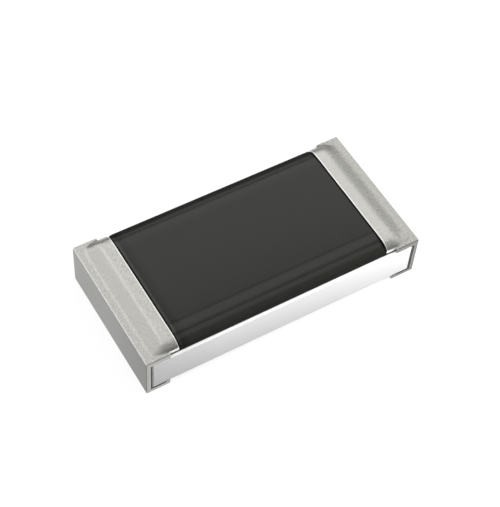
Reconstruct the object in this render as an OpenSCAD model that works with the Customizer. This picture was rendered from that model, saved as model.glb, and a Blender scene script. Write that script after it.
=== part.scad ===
// Thick-film chip resistor, size 3216 metric.
// A ceramic block carries a trimmed resistive film under glass and a black coat.
// Each end is wrapped by electrodes, a nickel barrier and a tin termination, one inside the other.
// The length runs along X, the origin is under the middle of the chip, on the board.

/* [Chip] */
// Length over both terminations
chip_l = 3.2; // [2.8:0.05:3.6]
// Width across the long sides
chip_w = 1.6; // [1.4:0.05:1.9]

/* [Ceramic block] */
// Thickness of the ceramic
ceramic_t = 0.4; // [0.3:0.01:0.6]
// Bevel on the upright corners of the block
corner_bevel = 0.018; // [0.008:0.002:0.03]
// Bevel along the lower long edges, where the block was snapped from its sheet
snap_bevel = 0.01; // [0.004:0.002:0.02]

/* [Printed electrodes] */
// Thickness of the top print along the end of the block
strip_t = 0.008; // [0.005:0.001:0.02]
// Thickness of the top print in the raised land
land_t = 0.068; // [0.05:0.002:0.09]
// Thickness of the tongue that runs in under the coat
tongue_t = 0.016; // [0.01:0.001:0.025]
// Length of the tongue under the coat
tongue_l = 0.24; // [0.18:0.01:0.4]
// Thickness of the bottom print
bottom_print_t = 0.008; // [0.005:0.001:0.02]

/* [End electrode] */
// Thickness on the end of the block
end_wall_t = 0.016; // [0.008:0.001:0.03]
// Thickness where it wraps over the prints
wrap_t = 0.008; // [0.005:0.001:0.015]
// How far its edge lies behind the long sides
side_setback = 0.008; // [0.002:0.001:0.015]

/* [Plating] */
// Thickness of the nickel barrier
nickel_t = 0.022; // [0.01:0.001:0.03]
// Thickness of the tin
tin_t = 0.026; // [0.01:0.001:0.035]
// Rounding of the tin's outer edges
edge_round = 0.014; // [0.006:0.001:0.02]
// Least rounding of the edges of the plating inside
inner_round = 0.002; // [0.001:0.001:0.005]
// Length of the flat flange on top, from the end
flange_l = 0.27; // [0.22:0.01:0.32]
// Length of the soldered flange underneath, from the end
bottom_l = 0.27; // [0.22:0.01:0.6]

/* [Raised land] */
// Reach of the termination over the top, from the end to the coat
top_reach = 0.38; // [0.36:0.01:0.5]
// Start of the ramp, from the end
ramp_foot = 0.1; // [0.09:0.01:0.13]
// End of the ramp, where the land is flat
ramp_crest = 0.25; // [0.22:0.01:0.28]
// Radius that blends the foot of the ramp
foot_round = 0.1; // [0.06:0.01:0.12]
// Radius that blends the crest of the ramp
crest_round = 0.11; // [0.09:0.01:0.15]
// Set-back of the land and the coat from the long sides
ledge = 0.035; // [0.02:0.005:0.06]
// Width over which the long edges roll down
shoulder_w = 0.265; // [0.2:0.005:0.32]

/* [Resistive film] */
// Thickness of the film
film_t = 0.016; // [0.01:0.001:0.02]
// Width of the film
film_w = 1.1; // [0.9:0.02:1.2]
// Length of the film that lies on each tongue
film_overlap = 0.12; // [0.08:0.01:0.16]
// Width of the laser cut
kerf = 0.04; // [0.02:0.005:0.06]
// Distance of the cut from the middle of the film
trim_x = 0.3; // [0.1:0.05:0.5]
// Length of the cut across the film
trim_across = 0.46; // [0.3:0.02:0.6]
// Length of the cut along the film
trim_along = 0.44; // [0.2:0.02:0.6]

/* [Glass and coat] */
// Thickness of the glass
glass_t = 0.02; // [0.01:0.001:0.025]
// Overhang of the glass round the film
glass_margin = 0.05; // [0.02:0.005:0.08]
// Width of the shallow seam between the coat and each termination
seam_w = 0.014; // [0.006:0.002:0.02]
// Depth of that seam
seam_d = 0.012; // [0.006:0.002:0.02]

/* [Hidden] */
$fn = 96;

// Layers over an end, from the inside out
PRINT = 0;
WRAP = 1;
NICKEL = 2;
TIN = 3;

// Thickness built up over the prints, up to a layer's outer face
function build(layer) = [0, wrap_t, wrap_t + nickel_t, wrap_t + nickel_t + tin_t][layer];
// Thickness built up over the end of the ceramic, up to a layer's outer face
function wall(layer) = [0, end_wall_t, end_wall_t + nickel_t, end_wall_t + nickel_t + tin_t][layer];
// Depth of a layer's outer face under the finished surface
function depth(layer) = build(TIN) - build(layer);

ceramic_l = chip_l - 2 * wall(TIN);
ceramic_z = bottom_print_t + build(TIN);
ceramic_top = ceramic_z + ceramic_t;
coat_l = chip_l - 2 * top_reach;
// What a cutting shape stands out by, so that no thin skin is left
over = 0.2;

// The rolled long edges are arcs about one line on each side, so every layer runs parallel
shoulder_drop = land_t - strip_t;
shoulder_r = (shoulder_w * shoulder_w + shoulder_drop * shoulder_drop) / (2 * shoulder_drop);
land_half_w = chip_w / 2 - ledge;
shoulder_y = land_half_w - shoulder_w;

// The ramp's corners shift by this share of the depth from layer to layer
ramp_angle = atan2(land_t - strip_t, ramp_crest - ramp_foot);
ramp_shift = tan(ramp_angle / 2);

tongue_tip = coat_l / 2 - tongue_l;
film_end = tongue_tip + film_overlap;

// Extrudes an outline in Y and Z along X, between two places
module along_x(from, to) {
    translate([from, 0, 0]) rotate([90, 0, 90]) linear_extrude(to - from) children();
}

// Extrudes an outline in X and Z across the chip, to a half width
module across_y(half_w) {
    translate([0, half_w, 0]) rotate([90, 0, 0]) linear_extrude(2 * half_w) children();
}

// A rectangle with round corners
module round_rect(x, z, size_x, size_z, r) {
    translate([x, z + r]) square([size_x, size_z - 2 * r]);
    translate([x + r, z]) square([size_x - 2 * r, size_z]);
    for (cx = [x + r, x + size_x - r], cz = [z + r, z + size_z - r])
        translate([cx, cz]) circle(r);
}

// Section across the chip over the ceramic: flat top, rolled shoulders, upright sides.
// under is how far it lies below the finished surface.
module crown_section(under) {
    half_w = land_half_w - under;
    top = land_t + build(TIN) - under;
    intersection() {
        translate([-half_w, 0]) square([2 * half_w, top]);
        union() {
            translate([-shoulder_y, 0]) square([2 * shoulder_y, top]);
            for (side = [-1, 1])
                translate([side * shoulder_y, land_t + build(TIN) - shoulder_r]) circle(shoulder_r - under);
        }
    }
}

// Section along the chip over the ceramic, X from the end: flat strip, blended ramp, flat land
module ramp_section(layer, start, end) {
    floor_z = strip_t + build(layer);
    land_z = land_t + build(layer);
    foot_x = ramp_foot + depth(layer) * ramp_shift;
    crest_x = ramp_crest + depth(layer) * ramp_shift;
    foot_r = foot_round + depth(layer);
    crest_r = crest_round - depth(layer);
    foot_reach = foot_r * ramp_shift;
    crest_reach = crest_r * ramp_shift;
    intersection() {
        translate([start, 0]) square([end - start, land_z]);
        difference() {
            union() {
                polygon([
                    [start, 0],
                    [end, 0],
                    [end, land_z],
                    [crest_x + crest_reach, land_z],
                    [crest_x - crest_reach * cos(ramp_angle), land_z - crest_reach * sin(ramp_angle)],
                    [foot_x + foot_reach * cos(ramp_angle), floor_z + foot_reach * sin(ramp_angle)],
                    [foot_x - foot_reach, floor_z],
                    [start, floor_z]
                ]);
                translate([crest_x + crest_reach, land_z - crest_r]) circle(crest_r);
            }
            translate([foot_x - foot_reach, floor_z + foot_r]) circle(foot_r);
        }
    }
}

// The raised land of one layer at the left end, as far as a layer's own end face
module land(layer, reach) {
    start = wall(TIN) - wall(layer);
    translate([-chip_l / 2, 0, ceramic_top]) intersection() {
        across_y(chip_w / 2) ramp_section(layer, start, reach);
        along_x(start, reach) crown_section(depth(layer));
    }
}

// The block of one layer round the left end: end wall and two flat flanges
module end_block(layer, half_w) {
    start = wall(TIN) - wall(layer);
    low = ceramic_z - bottom_print_t - build(layer);
    high = ceramic_top + strip_t + build(layer);
    middle = ceramic_z + ceramic_t / 2;
    corner = max(edge_round - depth(layer), inner_round);
    translate([-chip_l / 2, 0, 0]) across_y(half_w) {
        intersection() {
            round_rect(start, low, flange_l - depth(layer) - start, high - low, corner);
            translate([start, middle]) square([chip_l, high - middle]);
        }
        intersection() {
            round_rect(start, low, bottom_l - depth(layer) - start, high - low, corner);
            translate([start, low]) square([chip_l, middle - low]);
        }
    }
}

// Prints of the left end
module top_print(reach) {
    land(PRINT, reach);
}

module tongue() {
    half_w = land_half_w - depth(PRINT) - shoulder_w / 2;
    translate([-coat_l / 2, -half_w, ceramic_top]) cube([tongue_l, 2 * half_w, tongue_t]);
}

module bottom_print() {
    half_w = chip_w / 2 - side_setback;
    translate([-ceramic_l / 2, -half_w, ceramic_z - bottom_print_t])
        cube([bottom_l - depth(PRINT) - wall(TIN), 2 * half_w, bottom_print_t]);
}

// End electrode of the left end, before the ceramic and the prints are taken out of it
module wrap_body(half_w, reach) {
    low = ceramic_z - bottom_print_t - wrap_t;
    translate([-chip_l / 2 + wall(TIN) - wall(WRAP), -half_w, low])
        cube([end_wall_t, 2 * half_w, ceramic_top - low]);
    translate([-chip_l / 2 + wall(TIN) - wall(WRAP), -half_w, low])
        cube([bottom_l - depth(WRAP) - wall(TIN) + wall(WRAP), 2 * half_w, ceramic_z - low]);
    land(WRAP, reach);
}

// One plated layer of the left end, before what lies under it is taken out
module plated_body(layer, half_w, reach) {
    end_block(layer, half_w);
    land(layer, reach);
}

// The ceramic without its bevels, longer towards the middle, for cutting the wraps
module ceramic_core(half_w) {
    translate([-ceramic_l / 2, -half_w, ceramic_z]) cube([ceramic_l / 2, 2 * half_w, ceramic_t]);
}

module tin_left() {
    difference() {
        plated_body(TIN, chip_w / 2, top_reach);
        plated_body(NICKEL, chip_w / 2 + over, top_reach + over);
        ceramic_core(chip_w / 2 + over);
    }
}

module nickel_left() {
    difference() {
        plated_body(NICKEL, chip_w / 2, top_reach);
        wrap_body(chip_w / 2 + over, top_reach + over);
        ceramic_core(chip_w / 2 + over);
    }
}

module wrap_left() {
    difference() {
        wrap_body(chip_w / 2 - side_setback, top_reach);
        top_print(top_reach + over);
        bottom_print();
        ceramic_core(chip_w / 2 + over);
    }
}

// The laser cut: across the film from one long edge, then along it
module trim_cut() {
    edge_y = -film_w / 2 - glass_margin;
    turn_y = -film_w / 2 + trim_across;
    height = tongue_t + film_t + glass_t + over;
    translate([trim_x, edge_y - over, ceramic_top]) cube([kerf, turn_y - edge_y + over, height]);
    translate([trim_x - trim_along, turn_y - kerf, ceramic_top]) cube([trim_along + kerf, kerf, height]);
}

// A printed layer that lies flat between the tongues and steps up on to them
module stepped_layer(end, step, half_w, thickness) {
    rise_x = step - thickness;
    high = tongue_t + thickness;
    translate([0, 0, ceramic_top]) across_y(half_w) polygon([
        [-end, 0],
        [end, 0],
        [end, high],
        [rise_x, high],
        [rise_x, thickness],
        [-rise_x, thickness],
        [-rise_x, high],
        [-end, high]
    ]);
}

module film_body() {
    stepped_layer(film_end, tongue_tip, film_w / 2, film_t);
}

module tongues() {
    for (side = [0, 1]) mirror([side, 0, 0]) tongue();
}

module ceramic_substrate() {
    color("whitesmoke") difference() {
        translate([-ceramic_l / 2, -chip_w / 2, ceramic_z]) cube([ceramic_l, chip_w, ceramic_t]);
        for (sx = [-1, 1], sy = [-1, 1])
            translate([sx * ceramic_l / 2, sy * chip_w / 2, ceramic_z - over]) rotate([0, 0, 45])
                translate([-corner_bevel / sqrt(2), -corner_bevel / sqrt(2), 0])
                    cube([corner_bevel * sqrt(2), corner_bevel * sqrt(2), ceramic_t + 2 * over]);
        for (sy = [-1, 1])
            translate([-ceramic_l / 2 - over, sy * chip_w / 2, ceramic_z]) rotate([45, 0, 0])
                translate([0, -snap_bevel / sqrt(2), -snap_bevel / sqrt(2)])
                    cube([ceramic_l + 2 * over, snap_bevel * sqrt(2), snap_bevel * sqrt(2)]);
    }
}

module resistive_film() {
    color("darkslategray") difference() {
        film_body();
        tongues();
        trim_cut();
    }
}

module glass_overcoat() {
    color("darkolivegreen") difference() {
        stepped_layer(film_end + glass_margin, tongue_tip, film_w / 2 + glass_margin, film_t + glass_t);
        film_body();
        tongues();
        trim_cut();
    }
}

module protective_coat() {
    color([0.22, 0.22, 0.21]) difference() {
        translate([0, 0, ceramic_top]) {
            along_x(-coat_l / 2 + seam_w, coat_l / 2 - seam_w) crown_section(0);
            along_x(-coat_l / 2, coat_l / 2) crown_section(seam_d);
        }
        glass_overcoat();
        resistive_film();
        tongues();
    }
}

module top_electrode_left() {
    color("lightgray") {
        top_print(top_reach);
        tongue();
    }
}

module top_electrode_right() {
    mirror([1, 0, 0]) top_electrode_left();
}

module bottom_electrode_left() {
    color("lightgray") bottom_print();
}

module bottom_electrode_right() {
    mirror([1, 0, 0]) bottom_electrode_left();
}

module end_electrode_left() {
    color("dimgray") wrap_left();
}

module end_electrode_right() {
    mirror([1, 0, 0]) end_electrode_left();
}

module nickel_barrier_left() {
    color([0.68, 0.67, 0.63]) nickel_left();
}

module nickel_barrier_right() {
    mirror([1, 0, 0]) nickel_barrier_left();
}

module tin_termination_left() {
    color([0.77, 0.765, 0.745]) tin_left();
}

module tin_termination_right() {
    mirror([1, 0, 0]) tin_termination_left();
}

ceramic_substrate();
resistive_film();
glass_overcoat();
protective_coat();
top_electrode_left();
top_electrode_right();
bottom_electrode_left();
bottom_electrode_right();
end_electrode_left();
end_electrode_right();
nickel_barrier_left();
nickel_barrier_right();
tin_termination_left();
tin_termination_right();
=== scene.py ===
import math

import bmesh
import bpy
from mathutils import Matrix, Vector


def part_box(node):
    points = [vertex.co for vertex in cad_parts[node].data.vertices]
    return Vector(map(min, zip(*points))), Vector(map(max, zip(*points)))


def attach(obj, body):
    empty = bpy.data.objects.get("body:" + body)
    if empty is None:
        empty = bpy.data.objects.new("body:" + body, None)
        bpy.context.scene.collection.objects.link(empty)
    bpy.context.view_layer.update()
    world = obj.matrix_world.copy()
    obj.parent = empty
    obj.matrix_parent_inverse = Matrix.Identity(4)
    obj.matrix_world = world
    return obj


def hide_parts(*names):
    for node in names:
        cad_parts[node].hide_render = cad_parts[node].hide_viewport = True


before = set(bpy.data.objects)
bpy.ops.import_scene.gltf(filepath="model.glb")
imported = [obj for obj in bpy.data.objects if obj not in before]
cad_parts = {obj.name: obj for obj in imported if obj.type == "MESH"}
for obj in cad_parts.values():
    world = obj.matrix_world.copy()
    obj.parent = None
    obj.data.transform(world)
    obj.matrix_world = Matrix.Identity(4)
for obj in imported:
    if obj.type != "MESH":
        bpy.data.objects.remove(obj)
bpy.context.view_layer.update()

# Shapes are worked out in millimetres and written to the meshes in metres
MM = 0.001


def box_mm(node):
    """A node's lowest and highest corners in millimetres."""
    return [Vector(corner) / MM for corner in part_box(node)]


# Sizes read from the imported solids
tin_low, tin_high = box_mm("tin_termination_left")
nickel_low = box_mm("nickel_barrier_left")[0]
coat_high = box_mm("protective_coat")[1]
block_low, block_high = box_mm("ceramic_substrate")

HALF_LENGTH = -tin_low.x
HALF_WIDTH = tin_high.y
LAND_TOP = tin_high.z
LAND_REACH = tin_high.x - tin_low.x
TIN_THICK = nickel_low.x - tin_low.x
BLOCK_TOP = block_high.z
BLOCK_UNDER = block_low.z
FLANGE_TOP = BLOCK_TOP + BLOCK_UNDER
LAND_RISE = LAND_TOP - FLANGE_TOP
LAND_HALF_WIDTH = coat_high.y
COAT_HALF_LENGTH = coat_high.x

# Sizes of the raised land, close to those of the solids, with lengths from the chip's end
FLANGE_LENGTH = 0.27
RAMP_FOOT = 0.085
RAMP_CREST = 0.25
SHOULDER_WIDTH = 0.265
SHOULDER_START = LAND_HALF_WIDTH - SHOULDER_WIDTH
SHOULDER_RADIUS = (SHOULDER_WIDTH ** 2 + LAND_RISE ** 2) / (2 * LAND_RISE)
# How late the crown turns down across the land and across its ramp:
# 2 is a round crown, more stays flat nearer to the edge
LAND_CROWN = 5.0
RAMP_CROWN = {"left": 4.0, "right": 2.8}
# How softly each ramp runs into the flange at its foot and into the land at its crest,
# as shares of the land's rise
FOOT_BLEND = {"left": 0.17, "right": 0.36}
CREST_BLEND = {"left": 0.26, "right": 0.52}
# How the ramp and the crown run into each other at the land's corners:
# 2 is a round corner, more a squarer one, less a flatter one
CORNER_POWER = {"left": 1.9, "right": 1.6}

# Rounding of the tin's edges, and the strip beside each bend that leaves the thickness room inside
TIN_ROUND = 0.01
LIP_ROUND = 0.007
FLANGE_LIP_ROUND = 0.004
FOLD_STRIP = 0.03
# Edges that turn by more than this are sharp
SHARP = math.radians(35)
# Cells of the termination's grid: along its lip, land, flange, outer edge, end wall and underside,
# and across its front ledge, land and back ledge
WRAP_ROUTE = (2, 18, 50, 1, 16, 9)
WRAP_SPREAD = (2, 150, 2)

# The seam between the coat and each land: a narrow floor, and the coat's end rolled down to it, ever steeper
SEAM_FLOOR = 0.006
SEAM_ROLL = 0.012
SEAM_DEPTH = 0.009
SEAM_CURVE = 2.4
# The slight fall of the coat's left end before that roll
RIM_WIDTH = 0.045
RIM_SLOPE = 0.195
RIM_BLEND = 0.008
# Cells of the coat's grid: along one end wall, its rolled end, the middle, the other rolled end and end wall,
# and across one side, its rolled edge, the flat, the other rolled edge and side
COAT_ROUTE = (1, 24, 40, 24, 1)
COAT_SPREAD = (4, 30, 20, 30, 4)
# How far the hollow under the coat stands off what lies in it,
# and how far its cutters are drawn off the coat's ends
CUT_GROW = 0.0005
CUT_CLEAR = 0.01

# Bevels of the ceramic block
CORNER_BEVEL = 0.018
SNAP_BEVEL = 0.01
RIM_BEVEL = 0.005

# Points this close to each other are merged
MERGE_WITHIN = 0.00006
# An edge to be rounded, and a point in a rule, lies where asked if it is this close
SAME_PLACE = 0.0004
ON_LINE = 0.001


class Term:
    """A number in a node tree. Arithmetic on it places Math nodes."""

    def __init__(self, tree, socket):
        self.tree = tree
        self.socket = socket

    def calc(self, operation, *others):
        return place_math(self.tree, operation, self, *others)

    def __add__(self, other):
        return self.calc("ADD", other)

    def __radd__(self, other):
        return self.calc("ADD", other)

    def __sub__(self, other):
        return self.calc("SUBTRACT", other)

    def __rsub__(self, other):
        return place_math(self.tree, "SUBTRACT", other, self)

    def __mul__(self, other):
        return self.calc("MULTIPLY", other)

    def __truediv__(self, other):
        return self.calc("DIVIDE", other)

    def __rtruediv__(self, other):
        return place_math(self.tree, "DIVIDE", other, self)

    def __abs__(self):
        return self.calc("ABSOLUTE")


def plug(tree, value, slot):
    """Feeds an input with a term, a socket or a plain value."""
    if isinstance(value, Term):
        tree.links.new(value.socket, slot)
    elif isinstance(value, bpy.types.NodeSocket):
        tree.links.new(value, slot)
    else:
        slot.default_value = value


def place(tree, kind, settings=None, **values):
    """Adds a node, with its settings and its inputs by name."""
    node = tree.nodes.new(kind)
    for name, value in (settings or {}).items():
        setattr(node, name, value)
    for name, value in values.items():
        plug(tree, value, node.inputs[name.replace("_", " ")])
    return node


def place_math(tree, operation, *values):
    """Adds a Math node and gives its result."""
    node = place(tree, "ShaderNodeMath", {"operation": operation})
    for slot, value in zip(node.inputs, values):
        plug(tree, value, slot)
    return Term(tree, node.outputs[0])


def split(tree, vector):
    """The three parts of a vector as terms."""
    node = place(tree, "ShaderNodeSeparateXYZ", Vector=vector)
    return [Term(tree, socket) for socket in node.outputs]


def add_object(name, data):
    """A new object in the scene."""
    made = bpy.data.objects.new(name, data)
    bpy.context.scene.collection.objects.link(made)
    return made


# Rules for the main pieces, as Geometry Nodes

def new_rule(name, sizes):
    """An empty Geometry Nodes tree with a named input for each size, and one for the finish."""
    tree = bpy.data.node_groups.new(name, "GeometryNodeTree")
    tree.is_modifier = True
    tree.interface.new_socket("Geometry", in_out="OUTPUT", socket_type="NodeSocketGeometry")
    tree.interface.new_socket("Finish", in_out="INPUT", socket_type="NodeSocketMaterial")
    for size in sizes:
        tree.interface.new_socket(size, in_out="INPUT", socket_type="NodeSocketFloat")
    inlet = tree.nodes.new("NodeGroupInput")
    terms = {size: Term(tree, inlet.outputs[size]) for size in sizes}
    return tree, terms, inlet.outputs["Finish"]


def end_rule(tree, geometry, finish):
    """Every rule ends in plain geometry that carries its finish."""
    whole = place(tree, "GeometryNodeRealizeInstances", Geometry=geometry)
    dressed = place(tree, "GeometryNodeSetMaterial", Geometry=whole.outputs[0], Material=finish)
    outlet = tree.nodes.new("NodeGroupOutput")
    tree.links.new(dressed.outputs[0], outlet.inputs["Geometry"])


def stations(tree, route, spread):
    """A flat grid with these cells, and each point's place in it counted along and across."""
    columns = sum(spread) + 1
    grid = place(tree, "GeometryNodeMeshGrid", Vertices_X=sum(route) + 1, Vertices_Y=columns)
    index = Term(tree, place(tree, "GeometryNodeInputIndex").outputs[0])
    along = (index / columns).calc("FLOOR")
    across = index - along * columns
    return grid.outputs["Mesh"], along, across


def legs(station, cells):
    """How far a station is along each leg of a route, from 0 to 1."""
    shares = []
    first = 0
    for count in cells:
        shares.append(((station - first) / count).calc("MINIMUM", 1.0).calc("MAXIMUM", 0.0))
        first += count
    return shares


def set_points(tree, mesh, x, y, z):
    """Moves the grid's points to their places and merges those that fall together."""
    spot = place(tree, "ShaderNodeCombineXYZ", X=x, Y=y, Z=z)
    moved = place(tree, "GeometryNodeSetPosition", Geometry=mesh, Position=spot.outputs[0])
    merged = place(tree, "GeometryNodeMergeByDistance", Geometry=moved.outputs[0], Distance=MERGE_WITHIN)
    return merged.outputs[0]


def termination_rule():
    """The outside of one termination as a sheet: the raised land, the end wall and both flanges.

    The land drops from its top by a ramp along the chip and a crown across it, joined by a soft corner.
    """
    tree, size, finish = new_rule("termination wrap", [
        "Side", "Half Length", "Half Width", "Land Reach", "Flange Length", "Flange Top", "Land Rise",
        "Land Half Width", "Ramp Foot", "Ramp Crest", "Foot Blend", "Crest Blend", "Shoulder Width",
        "Land Crown", "Ramp Crown", "Corner Power", "Lip Depth", "Fold Strip"])
    strip = size["Fold Strip"]
    mesh, along, across = stations(tree, WRAP_ROUTE, WRAP_SPREAD)

    lip, land, flange, edge, wall, under = legs(along, WRAP_ROUTE)
    from_end = (size["Land Reach"] - strip * (lip + edge) - (size["Flange Length"] - strip) * flange
                - (size["Land Reach"] - strip - size["Flange Length"]) * land)
    front_ledge, land_across, back_ledge = legs(across, WRAP_SPREAD)
    ledge = size["Half Width"] - size["Land Half Width"]
    y = ledge * (front_ledge + back_ledge) + size["Land Half Width"] * 2.0 * land_across - size["Half Width"]

    # Beside the land the flange's last strip is one long cell, so that the bend at its end has room inside
    on_ledge = abs(y).calc("GREATER_THAN", size["Land Half Width"] - ON_LINE)
    before_end = flange.calc("GREATER_THAN", 0.0)
    last_strip = (from_end - size["Flange Length"] + strip).calc("MAXIMUM", 0.0)
    from_end = from_end - last_strip * on_ledge * before_end

    ramp = (size["Ramp Crest"] - from_end) / (size["Ramp Crest"] - size["Ramp Foot"])
    ramp = ramp.calc("SMOOTH_MAX", 0.0, size["Crest Blend"])
    shoulder = (abs(y) - size["Land Half Width"]) / size["Shoulder Width"] + 1.0
    to_ramp = (ramp * 2.0).calc("MINIMUM", 1.0)
    power = size["Land Crown"] + (size["Ramp Crown"] - size["Land Crown"]) * to_ramp
    crown = shoulder.calc("MAXIMUM", 0.0).calc("POWER", power)
    corner = size["Corner Power"]
    drop = (ramp.calc("POWER", corner) + crown.calc("POWER", corner)).calc("POWER", 1.0 / corner)
    rise = size["Land Rise"] * (1.0 - drop).calc("SMOOTH_MAX", 0.0, size["Foot Blend"])
    z = size["Flange Top"] * (1.0 - wall) + rise
    x = size["Side"] * (size["Half Length"] - from_end - size["Flange Length"] * under)
    sheet = set_points(tree, mesh, x, y, z)

    # Beyond the flange only the land goes on, and its sides and every flange's end turn to the ceramic
    at_x, at_y, at_z = split(tree, place(tree, "GeometryNodeInputPosition").outputs[0])
    past_flange = (abs(at_x) - size["Half Length"] + size["Flange Length"]).calc("LESS_THAN", ON_LINE)
    off_land = abs(at_y).calc("GREATER_THAN", size["Land Half Width"] - ON_LINE)
    upper = at_z.calc("GREATER_THAN", size["Flange Top"] * 0.5)
    sheet = place(tree, "GeometryNodeDeleteGeometry", {"domain": "FACE"}, Geometry=sheet,
                  Selection=past_flange * off_land * upper).outputs[0]
    faces_beside = Term(tree, place(tree, "GeometryNodeInputMeshEdgeNeighbors").outputs[0])
    open_edge = faces_beside.calc("LESS_THAN", 1.5)
    for where, turn in ((upper * off_land, -1.0), (1.0 - upper, 1.0)):
        offset = place(tree, "ShaderNodeCombineXYZ", Z=turn)
        sheet = place(tree, "GeometryNodeExtrudeMesh", {"mode": "EDGES"}, Mesh=sheet,
                      Selection=open_edge * past_flange * where, Offset=offset.outputs[0],
                      Offset_Scale=size["Lip Depth"]).outputs[0]
    left = size["Side"].calc("LESS_THAN", 0.0)
    sheet = place(tree, "GeometryNodeFlipFaces", Mesh=sheet, Selection=left).outputs[0]
    end_rule(tree, sheet, finish)
    return tree


def coat_rule():
    """The outside of the coat down to the ceramic: a crown across, rolled down to the seam at both ends."""
    tree, size, finish = new_rule("coat crown", [
        "Half Length", "Half Width", "Top", "Base", "Shoulder Start", "Shoulder Radius",
        "Seam Floor", "Seam Roll", "Seam Depth", "Rim Width", "Rim Slope"])
    mesh, along, across = stations(tree, COAT_ROUTE, COAT_SPREAD)

    rise, first_end, middle, last_end, drop = legs(along, COAT_ROUTE)
    zone = size["Rim Width"] + RIM_BLEND
    x = zone * (first_end + last_end) + (size["Half Length"] - zone) * 2.0 * middle - size["Half Length"]
    from_end = size["Half Length"] - abs(x)
    from_roll = 1.0 - ((from_end - size["Seam Floor"]) / size["Seam Roll"]).calc("MAXIMUM", 0.0)
    from_roll = from_roll.calc("MAXIMUM", 0.0)
    fall = (size["Rim Width"] - from_end).calc("SMOOTH_MAX", 0.0, RIM_BLEND)
    left = x.calc("LESS_THAN", 0.0)
    under = size["Seam Depth"] * from_roll.calc("POWER", SEAM_CURVE) + size["Rim Slope"] * fall * left

    climb, near_arc, flat, far_arc, descend = legs(across, COAT_SPREAD)
    radius = size["Shoulder Radius"] - under
    turn = ((size["Half Width"] - under - size["Shoulder Start"]) / radius).calc("ARCSINE")
    near_turn = turn * (1.0 - near_arc)
    far_turn = turn * far_arc
    y = (size["Shoulder Start"] * (flat * 2.0 - 1.0) - radius * near_turn.calc("SINE")
         + radius * far_turn.calc("SINE") + under * (climb + descend - 1.0))
    arc_height = radius * (near_turn + far_turn).calc("COSINE")
    height = size["Top"] - size["Shoulder Radius"] + arc_height - size["Base"]
    z = size["Base"] + height * climb * (1.0 - descend) * rise * (1.0 - drop)
    end_rule(tree, set_points(tree, mesh, x, y, z), finish)
    return tree


def follow(name, tree, finish, sizes):
    """Runs a rule once with its sizes and gives the result as a plain mesh, in millimetres."""
    carrier = add_object(name, bpy.data.meshes.new(name))
    modifier = carrier.modifiers.new("rule", "NODES")
    modifier.node_group = tree
    values = {"Finish": finish, **sizes}
    for item in tree.interface.items_tree:
        if item.item_type == "SOCKET" and item.in_out == "INPUT":
            modifier[item.identifier] = values[item.name]
    mesh = settle(carrier)
    carrier.modifiers.clear()
    bpy.data.objects.remove(carrier)
    return mesh


def settle(holder):
    """The mesh that an object's modifiers give."""
    evaluated = holder.evaluated_get(bpy.context.evaluated_depsgraph_get())
    return bpy.data.meshes.new_from_object(evaluated)


def with_modifier(mesh, kind, **settings):
    """A mesh after one modifier with these settings."""
    holder = add_object("holder", mesh)
    modifier = holder.modifiers.new(kind.lower(), kind)
    for name, value in settings.items():
        setattr(modifier, name, value)
    result = settle(holder)
    bpy.data.objects.remove(holder)
    return result


# Work on meshes

def open_mesh(mesh):
    """A mesh opened for work on its edges and faces."""
    bm = bmesh.new()
    bm.from_mesh(mesh)
    return bm


def close_mesh(bm, mesh):
    """Writes that work to a mesh."""
    bm.to_mesh(mesh)
    bm.free()


def near(value, target):
    """Whether a measure is as asked."""
    return abs(value - target) < SAME_PLACE


def soften(bm, where, width, segments=3):
    """Rounds the outward sharp edges whose middle is where asked."""
    picked = []
    for edge in bm.edges:
        middle = (edge.verts[0].co + edge.verts[1].co) / 2
        if edge.is_manifold and edge.is_convex and edge.calc_face_angle() > SHARP and where(middle):
            picked.append(edge)
    bmesh.ops.bevel(bm, geom=picked, offset=width, offset_type="OFFSET", segments=segments, profile=0.5,
                    affect="EDGES", clamp_overlap=True)


def finish_piece(name, mesh, finish, node):
    """Gives a mesh its finish, shades it, puts it in metres and lets it stand for its node."""
    mesh.materials.clear()
    mesh.materials.append(finish)
    for polygon in mesh.polygons:
        polygon.material_index = 0
        polygon.use_smooth = True
    mesh.set_sharp_from_angle(angle=SHARP)
    mesh = with_modifier(mesh, "WEIGHTED_NORMAL", keep_sharp=True, weight=80)
    mesh.name = name
    mesh.transform(Matrix.Scale(MM, 4))
    piece = add_object(name, mesh)
    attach(piece, "root")
    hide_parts(node)


# Pieces

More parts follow.
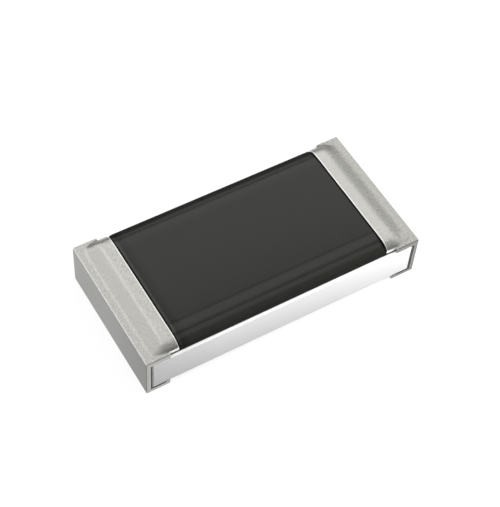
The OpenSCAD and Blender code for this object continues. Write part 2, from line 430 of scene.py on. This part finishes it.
def make_termination(side_name, side, tree, finish):
    """One tin termination: the sheet of its outside, given its thickness and rounded edges."""
    sheet = follow("tin_sheet", tree, finish, {
        "Side": side, "Half Length": HALF_LENGTH, "Half Width": HALF_WIDTH, "Land Reach": LAND_REACH,
        "Flange Length": FLANGE_LENGTH, "Flange Top": FLANGE_TOP, "Land Rise": LAND_RISE,
        "Land Half Width": LAND_HALF_WIDTH, "Ramp Foot": RAMP_FOOT, "Ramp Crest": RAMP_CREST,
        "Foot Blend": FOOT_BLEND[side_name], "Crest Blend": CREST_BLEND[side_name],
        "Shoulder Width": SHOULDER_WIDTH, "Land Crown": LAND_CROWN, "Ramp Crown": RAMP_CROWN[side_name],
        "Corner Power": CORNER_POWER[side_name], "Lip Depth": BLOCK_UNDER, "Fold Strip": FOLD_STRIP})
    mesh = with_modifier(sheet, "SOLIDIFY", thickness=TIN_THICK, offset=-1.0, use_even_offset=True,
                         use_quality_normals=True)
    flange_end = HALF_LENGTH - FLANGE_LENGTH
    land_end = HALF_LENGTH - LAND_REACH

    def outer_edge(at):
        if near(abs(at.x), HALF_LENGTH):
            return True
        on_long_side = near(abs(at.y), HALF_WIDTH)
        return on_long_side and (near(at.z, FLANGE_TOP) or near(at.z, 0) or near(abs(at.x), flange_end))

    bm = open_mesh(mesh)
    bmesh.ops.recalc_face_normals(bm, faces=bm.faces)
    soften(bm, outer_edge, TIN_ROUND)
    soften(bm, lambda at: near(abs(at.x), land_end) and at.z > FLANGE_TOP - TIN_THICK / 2, LIP_ROUND)
    soften(bm, lambda at: near(abs(at.y), LAND_HALF_WIDTH) and near(at.z, FLANGE_TOP), LIP_ROUND)
    soften(bm, lambda at: near(abs(at.x), flange_end) and near(at.z, FLANGE_TOP), FLANGE_LIP_ROUND, 2)
    close_mesh(bm, mesh)
    finish_piece("tin_" + side_name, mesh, finish, "tin_termination_" + side_name)


def node_cutter(node):
    """A joined copy of a node's mesh, in millimetres, to cut with.

    It is grown a little and drawn off the coat's ends, so that the cuts run into each other
    and leave no skin.
    """
    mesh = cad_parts[node].data.copy()
    mesh.transform(Matrix.Scale(1 / MM, 4))
    bm = open_mesh(mesh)
    bmesh.ops.remove_doubles(bm, verts=bm.verts, dist=MERGE_WITHIN)
    bm.normal_update()
    for vert in bm.verts:
        at_coat_end = abs(vert.co.x) > COAT_HALF_LENGTH - CUT_GROW
        vert.co += vert.normal * CUT_GROW
        if at_coat_end:
            vert.co.x += math.copysign(CUT_CLEAR, vert.co.x)
    close_mesh(bm, mesh)
    return add_object(node + "_cut", mesh)


def make_coat(finish):
    """The black coat, hollowed underneath where the glass, the film and the electrodes' tongues lie."""
    mesh = follow("coat_sheet", coat_rule(), finish, {
        "Half Length": COAT_HALF_LENGTH, "Half Width": LAND_HALF_WIDTH, "Top": LAND_TOP, "Base": BLOCK_TOP,
        "Shoulder Start": SHOULDER_START, "Shoulder Radius": SHOULDER_RADIUS, "Seam Floor": SEAM_FLOOR,
        "Seam Roll": SEAM_ROLL, "Seam Depth": SEAM_DEPTH, "Rim Width": RIM_WIDTH, "Rim Slope": RIM_SLOPE})
    bm = open_mesh(mesh)
    bmesh.ops.holes_fill(bm, edges=[edge for edge in bm.edges if edge.is_boundary], sides=0)
    bmesh.ops.recalc_face_normals(bm, faces=bm.faces)
    close_mesh(bm, mesh)
    for node in ("glass_overcoat", "resistive_film", "top_electrode_left", "top_electrode_right"):
        cutter = node_cutter(node)
        mesh = with_modifier(mesh, "BOOLEAN", operation="DIFFERENCE", solver="EXACT", object=cutter)
        bpy.data.objects.remove(cutter)
    bm = open_mesh(mesh)
    bmesh.ops.dissolve_degenerate(bm, edges=bm.edges, dist=MERGE_WITHIN)
    many_sided = [face for face in bm.faces if len(face.verts) > 4]
    bmesh.ops.triangulate(bm, faces=many_sided, ngon_method="BEAUTY")
    close_mesh(bm, mesh)
    finish_piece("black_coat", mesh, finish, "protective_coat")


def make_block(finish):
    """The ceramic block, with its bevelled corners, snapped lower edges and fine upper rim."""
    bm = bmesh.new()
    bmesh.ops.create_cube(bm, size=1.0)
    bmesh.ops.scale(bm, vec=block_high - block_low, verts=bm.verts)
    bmesh.ops.translate(bm, vec=(block_low + block_high) / 2, verts=bm.verts)
    soften(bm, lambda at: not near(at.z, BLOCK_TOP) and not near(at.z, BLOCK_UNDER), CORNER_BEVEL, 1)
    soften(bm, lambda at: near(at.z, BLOCK_UNDER) and near(abs(at.y), HALF_WIDTH), SNAP_BEVEL, 2)
    soften(bm, lambda at: near(at.z, BLOCK_TOP), RIM_BEVEL, 2)
    mesh = bpy.data.meshes.new("ceramic_block")
    close_mesh(bm, mesh)
    finish_piece("ceramic_block", mesh, finish, "ceramic_substrate")


# Finishes

# Tones of the tin: its grain, the tops of the lands, the ramps, the painted shade in the crease along the
# lands' long edges, the painted shade on the edges on the long sides and on the end walls, more at their
# front, the painted highlights on the upper edges of the ends and on the lips, the painted reflection on the
# upright sides of the lands and the painted shadow at their foot
TIN_DARK = (0.28, 0.277, 0.26)
TIN_LIGHT = (0.565, 0.559, 0.524)
TIN_TOP_TONE = (0.54, 0.534, 0.5)
TIN_SMOOTH_RAMP = (0.385, 0.381, 0.357)
TIN_SPECK = (0.22, 0.218, 0.204)
TIN_CREASE_SHADE = (0.12, 0.119, 0.111)
TIN_LEFT_EDGE_SHADE = (0.39, 0.386, 0.362)
TIN_RIGHT_EDGE_SHADE = (0.2, 0.198, 0.185)
TIN_END_WALL_SHADE = (0.21, 0.207, 0.194)
TIN_WALL_FRONT_SHADE = (0.12, 0.118, 0.11)
TIN_BROW_HIGHLIGHT = (0.67, 0.664, 0.64)
TIN_LIP_HIGHLIGHT = (0.86, 0.853, 0.83)
TIN_SIDE_REFLECTION = (0.96, 0.96, 0.955)
TIN_FOOT_SHADOW = (0.04, 0.04, 0.038)
# The painted highlight on the rim of the land's lip and the painted shadow line at the foot of its upright
# sides
LIP_WIDTH = 0.013
FOOT_LINE = 0.019
# The painted shade in the crease along the land's long edges, and how far over the flange it starts
CREASE_WIDTH = 0.03
CREASE_RISE = 0.001
# How far a ramp's tone fades to either side of its foot and its crest
RAMP_FADE = 0.03

# Tones of the coat: its grain, the painted shade beside its fallen left end, and the painted shade in the
# seams
COAT_DARK = (0.0058, 0.0058, 0.004)
COAT_LIGHT = (0.0082, 0.0082, 0.0062)
COAT_SHADE = (0.0004, 0.0004, 0.0003)
COAT_SEAM_SHADE = (0.002, 0.002, 0.002)
# How far the painted shade of each seam reaches onto the coat, and how far it lies to the left
SEAM_DARK = 0.0197
SEAM_SHIFT = 0.0025
# How far from the fallen end's edge that shade sets in, starts to fade and is gone
SHADE_IN = 0.01
SHADE_FADE = 0.02
SHADE_OUT = 0.1

# Tones of the ceramic: its grain, the painted shade down its sides and towards the left end,
# the painted shadow at the coat's foot and the stain of the dark electrode
BLOCK_DARK = (0.92, 0.92, 0.92)
BLOCK_LIGHT = (0.96, 0.96, 0.96)
BLOCK_LOWER_SHADE = (0.62, 0.62, 0.623)
BLOCK_LEFT_END_SHADE = (0.45, 0.45, 0.453)
COAT_FOOT_SHADOW = (0.05, 0.05, 0.048)
ELECTRODE_STAIN = (0.07, 0.07, 0.068)
# How far the dark electrode creeps onto the corner bevels, and how far the painted shadow at the coat's foot
# reaches onto the ledge beside it
STAIN_WIDTH = 0.003
COAT_SHADOW_WIDTH = 0.006

# Where the grain's noise has most of its values
GRAIN_LOW = 0.3
GRAIN_HIGH = 0.7

# A colour Mix node's sockets
MIX_UNDER = 6
MIX_OVER = 7
MIX_RESULT = 2


def grain_group():
    """A soft two-scale grain from 0 to 1, as fired, plated and moulded surfaces have it."""
    tree = bpy.data.node_groups.new("fine grain", "ShaderNodeTree")
    for name in ("Blotch Scale", "Speck Scale", "Speck Share"):
        tree.interface.new_socket(name, in_out="INPUT", socket_type="NodeSocketFloat")
    tree.interface.new_socket("Grain", in_out="OUTPUT", socket_type="NodeSocketFloat")
    inlet = tree.nodes.new("NodeGroupInput")
    outlet = tree.nodes.new("NodeGroupOutput")
    spot = place(tree, "ShaderNodeTexCoord").outputs["Object"]
    blotch = place(tree, "ShaderNodeTexNoise", Vector=spot, Scale=inlet.outputs["Blotch Scale"],
                   Detail=3.0, Roughness=0.6)
    speck = place(tree, "ShaderNodeTexNoise", Vector=spot, Scale=inlet.outputs["Speck Scale"],
                  Detail=2.0, Roughness=0.55)
    share = Term(tree, inlet.outputs["Speck Share"])
    grain = Term(tree, blotch.outputs[0]) * (1.0 - share) + Term(tree, speck.outputs[0]) * share
    tree.links.new(grain.socket, outlet.inputs["Grain"])
    return tree


fine_grain = grain_group()


class Finish:
    """A material with one Principled shader: a grained colour, tones laid over it, roughness and bump."""

    def __init__(self, name, grain, dark, light, **plain):
        self.material = bpy.data.materials.new(name)
        self.material.use_nodes = True
        self.tree = self.material.node_tree
        self.shader = self.tree.nodes["Principled BSDF"]
        for socket, value in plain.items():
            self.shader.inputs[socket].default_value = value
        self.grain = self.grained(*grain)
        self.colour = self.mix(self.spread(self.grain, 0.0, 1.0), (*dark, 1), light)

    def grained(self, blotch, speck, share):
        """Grain with blotches and specks of these sizes in millimetres, and the specks' share."""
        group = place(self.tree, "ShaderNodeGroup", {"node_tree": fine_grain},
                      Blotch_Scale=1.0 / (blotch * MM), Speck_Scale=1.0 / (speck * MM), Speck_Share=share)
        return Term(self.tree, group.outputs["Grain"])

    def spread(self, term, low, high, start=GRAIN_LOW, end=GRAIN_HIGH):
        """A term between start and end, spread from low to high."""
        node = place(self.tree, "ShaderNodeMapRange", Value=term, From_Min=start, From_Max=end,
                     To_Min=low, To_Max=high)
        return Term(self.tree, node.outputs[0])

    def mix(self, mask, under, tone):
        """A tone over what is under it where a mask is 1."""
        node = place(self.tree, "ShaderNodeMix", {"data_type": "RGBA"}, Factor=mask)
        plug(self.tree, under, node.inputs[MIX_UNDER])
        plug(self.tree, (*tone, 1), node.inputs[MIX_OVER])
        return node.outputs[MIX_RESULT]

    def lay(self, mask, tone):
        """Lays a tone over the colour where a mask is 1."""
        self.colour = self.mix(mask, self.colour, tone)

    def place_mm(self):
        """Object coordinates in millimetres, as three terms."""
        spot = place(self.tree, "ShaderNodeTexCoord").outputs["Object"]
        return [part * (1 / MM) for part in split(self.tree, spot)]

    def right_end(self):
        """A mask of the chip's right half."""
        return self.place_mm()[0].calc("GREATER_THAN", 0.0)

    def done(self, smoothest, roughest, bump_mm, bumps=None, dull=None):
        """Feeds the shader and gives the material. The grain is also its bumps, unless others are given."""
        roughness = self.spread(self.grain, smoothest, roughest)
        if dull:
            roughness = roughness + dull
        bump = place(self.tree, "ShaderNodeBump", Height=bumps or self.grain, Distance=bump_mm * MM,
                     Strength=1.0)
        plug(self.tree, self.colour, self.shader.inputs["Base Color"])
        plug(self.tree, roughness, self.shader.inputs["Roughness"])
        plug(self.tree, bump.outputs[0], self.shader.inputs["Normal"])
        return self.material


def matte_tin():
    """Plated tin: pale and finely mottled, lighter and evener on top of the lands, more so at the right end.

    The left ramp is smoother and the right one specked. Painted shade darkens the crease along the lands'
    long edges, the edges on the long sides, most at the right end, the end walls, most at their front, and
    the foot of the lands' upright sides.
    Painted highlights lighten the upper edges of the ends and the lips, and a painted reflection whitens the
    lands' upright sides.
    """
    tin = Finish("matte tin", (0.022, 0.011, 0.6), TIN_DARK, TIN_LIGHT, Metallic=1.0)
    x, y, z = tin.place_mm()
    from_end = HALF_LENGTH - abs(x)
    right = x.calc("GREATER_THAN", 0.0)
    left = 1.0 - right
    top_of_land = tin.spread(z, 0.0, 1.0, FLANGE_TOP + LAND_RISE * 0.8, LAND_TOP)
    ramp = (tin.spread(from_end, 0.0, 1.0, RAMP_FOOT - RAMP_FADE, RAMP_FOOT + RAMP_FADE)
            * tin.spread(from_end, 1.0, 0.0, RAMP_CREST - RAMP_FADE, RAMP_CREST + RAMP_FADE)
            * z.calc("GREATER_THAN", FLANGE_TOP))
    specks = tin.spread(tin.grained(0.018, 0.011, 0.6), 0.0, 0.85, 0.48, 0.6)
    crease = (tin.spread(abs(y), 0.0, 0.45, LAND_HALF_WIDTH - CREASE_WIDTH, LAND_HALF_WIDTH)
              * tin.spread(from_end, 0.0, 1.0, RAMP_CREST - CREASE_WIDTH, RAMP_CREST)
              * z.calc("GREATER_THAN", FLANGE_TOP + CREASE_RISE))
    long_edge = abs(y).calc("GREATER_THAN", HALF_WIDTH - TIN_ROUND * 0.5)
    end_wall = abs(x).calc("GREATER_THAN", HALF_LENGTH - TIN_ROUND * 0.5)
    to_front = tin.spread(y, 0.75, 0.0, -HALF_WIDTH, 0.05)
    brow = (abs(x).calc("GREATER_THAN", HALF_LENGTH - TIN_ROUND)
            * z.calc("GREATER_THAN", FLANGE_TOP - TIN_ROUND * 0.7))
    lip = abs(x).calc("LESS_THAN", HALF_LENGTH - LAND_REACH + LIP_WIDTH)
    land_side = (abs(x).calc("LESS_THAN", HALF_LENGTH - FLANGE_LENGTH)
                 * z.calc("LESS_THAN", FLANGE_TOP - LIP_ROUND)
                 * z.calc("GREATER_THAN", BLOCK_TOP - LIP_ROUND))
    land_foot = land_side * z.calc("LESS_THAN", BLOCK_TOP + FOOT_LINE)

    # Lighter, evener tone on the tops of the lands, more at the right end
    tin.lay(top_of_land * (0.28 + right * 0.34), TIN_TOP_TONE)
    tin.lay(ramp * left * 0.75, TIN_SMOOTH_RAMP)
    tin.lay(ramp * right * specks, TIN_SPECK)
    # Painted shade in the crease along the land's long edges
    tin.lay(crease, TIN_CREASE_SHADE)
    # Painted shade on the edges on the long sides, much darker at the right end
    tin.lay(long_edge * left * 0.8, TIN_LEFT_EDGE_SHADE)
    tin.lay(long_edge * right * 0.8, TIN_RIGHT_EDGE_SHADE)
    # Painted shade on the end walls, darker towards the front
    tin.lay(end_wall * 0.85, TIN_END_WALL_SHADE)
    tin.lay(end_wall * to_front, TIN_WALL_FRONT_SHADE)
    # Painted highlight on the upper edges of the ends, weaker at the right end
    tin.lay(brow * (1.0 - right * 0.7), TIN_BROW_HIGHLIGHT)
    # Painted highlight on the lip of the land
    tin.lay(lip * 0.85, TIN_LIP_HIGHLIGHT)
    # Painted reflection whitening the upright sides of the land
    tin.lay(land_side, TIN_SIDE_REFLECTION)
    # Painted shadow line at the foot of those sides
    tin.lay(land_foot, TIN_FOOT_SHADOW)
    return tin.done(0.28, 0.33, 0.0035, bumps=tin.grained(0.026, 0.02, 0.4))


def plated_nickel():
    """Satin nickel, with painted shade darkening the right end."""
    nickel = Finish("plated nickel", (0.03, 0.01, 0.5), (0.42, 0.414, 0.395), (0.5, 0.493, 0.472),
                    Metallic=1.0)
    # Painted shade darkening the right end
    nickel.lay(nickel.right_end() * 0.8, (0.24, 0.236, 0.226))
    return nickel.done(0.3, 0.4, 0.0008)


def dark_electrode():
    """A dark thin conductor, with painted light making the right end paler."""
    dark = Finish("dark electrode", (0.02, 0.008, 0.5), (0.07, 0.07, 0.068), (0.11, 0.11, 0.106),
                  Metallic=0.6)
    # Painted light making the right end paler
    dark.lay(dark.right_end() * 0.7, (0.2, 0.2, 0.195))
    return dark.done(0.55, 0.7, 0.0006)


def fired_silver():
    silver = Finish("fired silver print", (0.04, 0.012, 0.5), (0.6, 0.58, 0.54), (0.78, 0.76, 0.71),
                    Metallic=1.0)
    return silver.done(0.4, 0.6, 0.0015)


def resistor_print():
    film = Finish("resistor print", (0.03, 0.009, 0.5), (0.006, 0.006, 0.007), (0.022, 0.022, 0.025), IOR=1.5)
    return film.done(0.45, 0.65, 0.001)


def overcoat_glass():
    glass = Finish("overcoat glass", (0.06, 0.015, 0.3), (0.028, 0.05, 0.028), (0.045, 0.075, 0.045), IOR=1.5)
    return glass.done(0.12, 0.22, 0.0004)


def black_coat():
    """Moulded resin: near black with a soft gloss, dull on the upright foot and in the seams, with painted
    shade in the seams and beside its fallen left end.
    """
    coat = Finish("black coat", (0.12, 0.018, 0.35), COAT_DARK, COAT_LIGHT, IOR=1.42)
    x, _, z = coat.place_mm()
    foot = z.calc("LESS_THAN", FLANGE_TOP)
    seam = abs(x + SEAM_SHIFT).calc("GREATER_THAN", COAT_HALF_LENGTH - SEAM_DARK)
    from_left = x + COAT_HALF_LENGTH
    shade = (coat.spread(from_left, 0.0, 1.0, RIM_WIDTH - SHADE_IN, RIM_WIDTH + SHADE_IN)
             * coat.spread(from_left, 1.0, 0.0, RIM_WIDTH + SHADE_FADE, RIM_WIDTH + SHADE_OUT))
    coat.lay(shade, COAT_SHADE)
    # Painted shade in the seams
    coat.lay(seam, COAT_SEAM_SHADE)
    return coat.done(0.15, 0.2, 0.00006, dull=foot.calc("MAXIMUM", seam) * 0.8)


def alumina():
    """Fired alumina: white with very fine grain, with painted shade darker towards the bottom of its snapped
    sides and towards the left end.

    It has a painted shadow on the ledge at the coat's foot, and is stained where the dark electrode creeps
    onto it.
    """
    block = Finish("alumina", (0.05, 0.012, 0.5), BLOCK_DARK, BLOCK_LIGHT, IOR=1.5)
    x, y, z = block.place_mm()
    rim = BLOCK_TOP - RIM_BEVEL
    snapped = block.spread(z + block.grain * 0.04, 0.75, 0.1, BLOCK_UNDER, rim) * z.calc("LESS_THAN", rim)
    left_end_shade = block.spread(x, 0.42, 0.0, block_low.x, block_low.x * 0.5)
    shadow_at_coat = abs(y).calc("LESS_THAN", LAND_HALF_WIDTH + COAT_SHADOW_WIDTH) * z.calc("GREATER_THAN", rim)
    creep = abs(x).calc("GREATER_THAN", block_high.x - STAIN_WIDTH)
    # Painted shade, darker towards the bottom of the sides
    block.lay(snapped, BLOCK_LOWER_SHADE)
    # Painted shade towards the left end
    block.lay(left_end_shade, BLOCK_LEFT_END_SHADE)
    # Painted shadow on the ledge at the coat's foot
    block.lay(shadow_at_coat * 0.8, COAT_FOOT_SHADOW)
    block.lay(creep, ELECTRODE_STAIN)
    return block.done(0.4, 0.55, 0.0005)


# The part

tin_finish = matte_tin()
termination = termination_rule()
for side_name, side in (("left", -1.0), ("right", 1.0)):
    make_termination(side_name, side, termination, tin_finish)
make_coat(black_coat())
make_block(alumina())

inner_finishes = {
    "nickel_barrier": plated_nickel(), "end_electrode": dark_electrode(), "top_electrode": fired_silver(),
    "resistive_film": resistor_print(), "glass_overcoat": overcoat_glass(),
}
inner_finishes["bottom_electrode"] = inner_finishes["top_electrode"]
for name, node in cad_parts.items():
    for stem, finish in inner_finishes.items():
        if name.startswith(stem):
            node.data.materials.clear()
            node.data.materials.append(finish)


# Stage, light and camera

FLOOR_HALF = 500.0
# The floor's grey as a reflector for the chip, its grey under the glow where it is seen, and that glow
FLOOR_GREY = (0.29, 0.29, 0.29)
FLOOR_SEEN_GREY = (0.17, 0.17, 0.17)
FLOOR_GLOW = 0.84


def make_floor():
    """A white floor: what the camera and shiny surfaces see is lifted to white, apart from the shadow."""
    mesh = bpy.data.meshes.new("floor")
    reach = FLOOR_HALF * MM
    corners = [(-reach, -reach, 0), (reach, -reach, 0), (reach, reach, 0), (-reach, reach, 0)]
    mesh.from_pydata(corners, [], [(0, 1, 2, 3)])
    material = bpy.data.materials.new("white floor")
    material.use_nodes = True
    tree = material.node_tree
    tree.nodes.clear()
    path = place(tree, "ShaderNodeLightPath")
    seen = Term(tree, path.outputs["Is Camera Ray"])
    seen = seen.calc("MAXIMUM", Term(tree, path.outputs["Is Glossy Ray"]))
    seen = seen.calc("MAXIMUM", Term(tree, path.outputs["Is Transmission Ray"]))
    reflector = place(tree, "ShaderNodeBsdfDiffuse", Color=(*FLOOR_GREY, 1))
    shadowed = place(tree, "ShaderNodeBsdfDiffuse", Color=(*FLOOR_SEEN_GREY, 1))
    glow = place(tree, "ShaderNodeEmission", Color=(1, 1, 1, 1), Strength=FLOOR_GLOW)
    lifted = place(tree, "ShaderNodeAddShader")
    plug(tree, shadowed.outputs[0], lifted.inputs[0])
    plug(tree, glow.outputs[0], lifted.inputs[1])
    mix = place(tree, "ShaderNodeMixShader", Fac=seen)
    plug(tree, reflector.outputs[0], mix.inputs[1])
    plug(tree, lifted.outputs[0], mix.inputs[2])
    place(tree, "ShaderNodeOutputMaterial", Surface=mix.outputs[0])
    mesh.materials.append(material)
    floor = add_object("floor", mesh)


def stand(place_mm, right, up, back):
    """The matrix of a lamp or camera at a place, given its right, its up and what is behind it."""
    return Matrix.Translation(Vector(place_mm) * MM) @ Matrix((right, up, back)).transposed().to_4x4()


def softbox(name, place_mm, aim_mm, width, height, radiance, mirrored=True):
    """A rectangular lamp, its width level, turned to a point, whose face is as bright as radiance says.

    A lamp that is not mirrored is left out of reflections, so it leaves no glint in the metal.
    """
    data = bpy.data.lights.new(name, "AREA")
    data.shape = "RECTANGLE"
    data.size = width * MM
    data.size_y = height * MM
    data.energy = radiance * math.pi * data.size * data.size_y
    back = (Vector(place_mm) - Vector(aim_mm)).normalized()
    level = Vector((0, 0, 1)).cross(back).normalized()
    lamp = add_object(name, data)
    lamp.matrix_world = stand(place_mm, level, back.cross(level), back)
    lamp.visible_camera = False
    lamp.visible_glossy = mirrored


LIGHT_DISTANCE = 40.0
# A bank of softboxes in an arc over the chip's length: name, angles from overhead towards the back,
# ends along the chip and brightness
BANK = (
    ("bank_front_left", -45.0, -9.0, -46.0, -8.0, 0.85),
    ("bank_front", -60.0, -9.0, -8.0, 30.0, 0.4),
    ("bank_top", -9.0, 0.4, -46.0, 30.0, 1.2),
    ("bank_upper", 4.8, 24.3, -46.0, 30.0, 1.28),
    ("bank_middle", 28.3, 58.5, -46.0, 30.0, 1.28),
    ("bank_back", 62.5, 69.0, -46.0, 30.0, 0.95),
    ("bank_core", 4.8, 58.5, -10.0, -2.0, 0.8),
    ("wing_front", -50.0, -9.0, 30.0, 90.0, 1.1),
    ("wing_top", -9.0, 26.0, 30.0, 95.0, 1.3),
    ("wing_middle", 26.0, 47.0, 30.0, 90.0, 1.42),
    ("wing_right", 47.0, 78.0, 30.0, 90.0, 0.7),
    ("wing_far", -50.0, 30.0, 95.0, 160.0, 1.2),
)
# A large lamp over the left end and a small near one at the right front, both left out of reflections
OVER_LEFT_DIRECTION = Vector((-0.35, -0.1, 0.93))
OVER_LEFT_SIZE = 30.0
OVER_LEFT_BRIGHTNESS = 2.0
FRONT_RIGHT_PLACE = Vector((7.0, -2.6, 2.0))
FRONT_RIGHT_AIM = Vector((1.0, -0.8, 0.25))
FRONT_RIGHT_WIDTH = 4.5
FRONT_RIGHT_HEIGHT = 3.4
FRONT_RIGHT_BRIGHTNESS = 21.5
ROOM_BRIGHTNESS = 0.15


def light_chip():
    """Sets up the bank, the two lamps and a faint even light from all round."""
    chip_middle = Vector((0.0, 0.0, LAND_TOP / 2))
    for name, start, end, left, right, radiance in BANK:
        angle = math.radians((start + end) / 2)
        height = 2 * LIGHT_DISTANCE * math.tan(math.radians((end - start) / 2))
        aim = chip_middle + Vector(((left + right) / 2, 0, 0))
        over = aim + LIGHT_DISTANCE * Vector((0, math.sin(angle), math.cos(angle)))
        softbox(name, over, aim, right - left, height, radiance)
    softbox("over_left", chip_middle + LIGHT_DISTANCE * OVER_LEFT_DIRECTION, chip_middle,
            OVER_LEFT_SIZE, OVER_LEFT_SIZE, OVER_LEFT_BRIGHTNESS, mirrored=False)
    softbox("front_right", FRONT_RIGHT_PLACE, FRONT_RIGHT_AIM,
            FRONT_RIGHT_WIDTH, FRONT_RIGHT_HEIGHT, FRONT_RIGHT_BRIGHTNESS, mirrored=False)
    world = bpy.data.worlds.new("studio")
    world.use_nodes = True
    background = world.node_tree.nodes["Background"]
    background.inputs["Color"].default_value = (1, 1, 1, 1)
    background.inputs["Strength"].default_value = ROOM_BRIGHTNESS
    bpy.context.scene.world = world


# The photograph's viewpoint: where the camera stands, its turn round the chip and its lens
CAMERA_PLACE = Vector((-4.887, -7.203, 12.196))
CAMERA_AZIMUTH = math.radians(-34.38)
CAMERA_ELEVATION = math.radians(53.66)
CAMERA_ROLL = math.radians(4.87)
FOCAL_PIXELS = 1416.6
IMAGE_LONG_SIDE = 507
SENSOR = 36.0


def make_camera():
    """Sets up the camera at the photograph's viewpoint."""
    data = bpy.data.cameras.new("camera")
    data.sensor_width = SENSOR
    data.lens = FOCAL_PIXELS * SENSOR / IMAGE_LONG_SIDE
    data.clip_start = MM
    data.clip_end = FLOOR_HALF * MM * 4
    flat = math.cos(CAMERA_ELEVATION)
    back = Vector((math.sin(CAMERA_AZIMUTH) * flat, -math.cos(CAMERA_AZIMUTH) * flat,
                   math.sin(CAMERA_ELEVATION)))
    level = Vector((0, 0, 1)).cross(back).normalized()
    right = level * math.cos(CAMERA_ROLL) + back.cross(level) * math.sin(CAMERA_ROLL)
    camera = add_object("camera", data)
    camera.matrix_world = stand(CAMERA_PLACE, right, back.cross(right), back)
    bpy.context.scene.camera = camera


make_floor()
light_chip()
make_camera()
bpy.context.scene.view_settings.view_transform = "Standard"
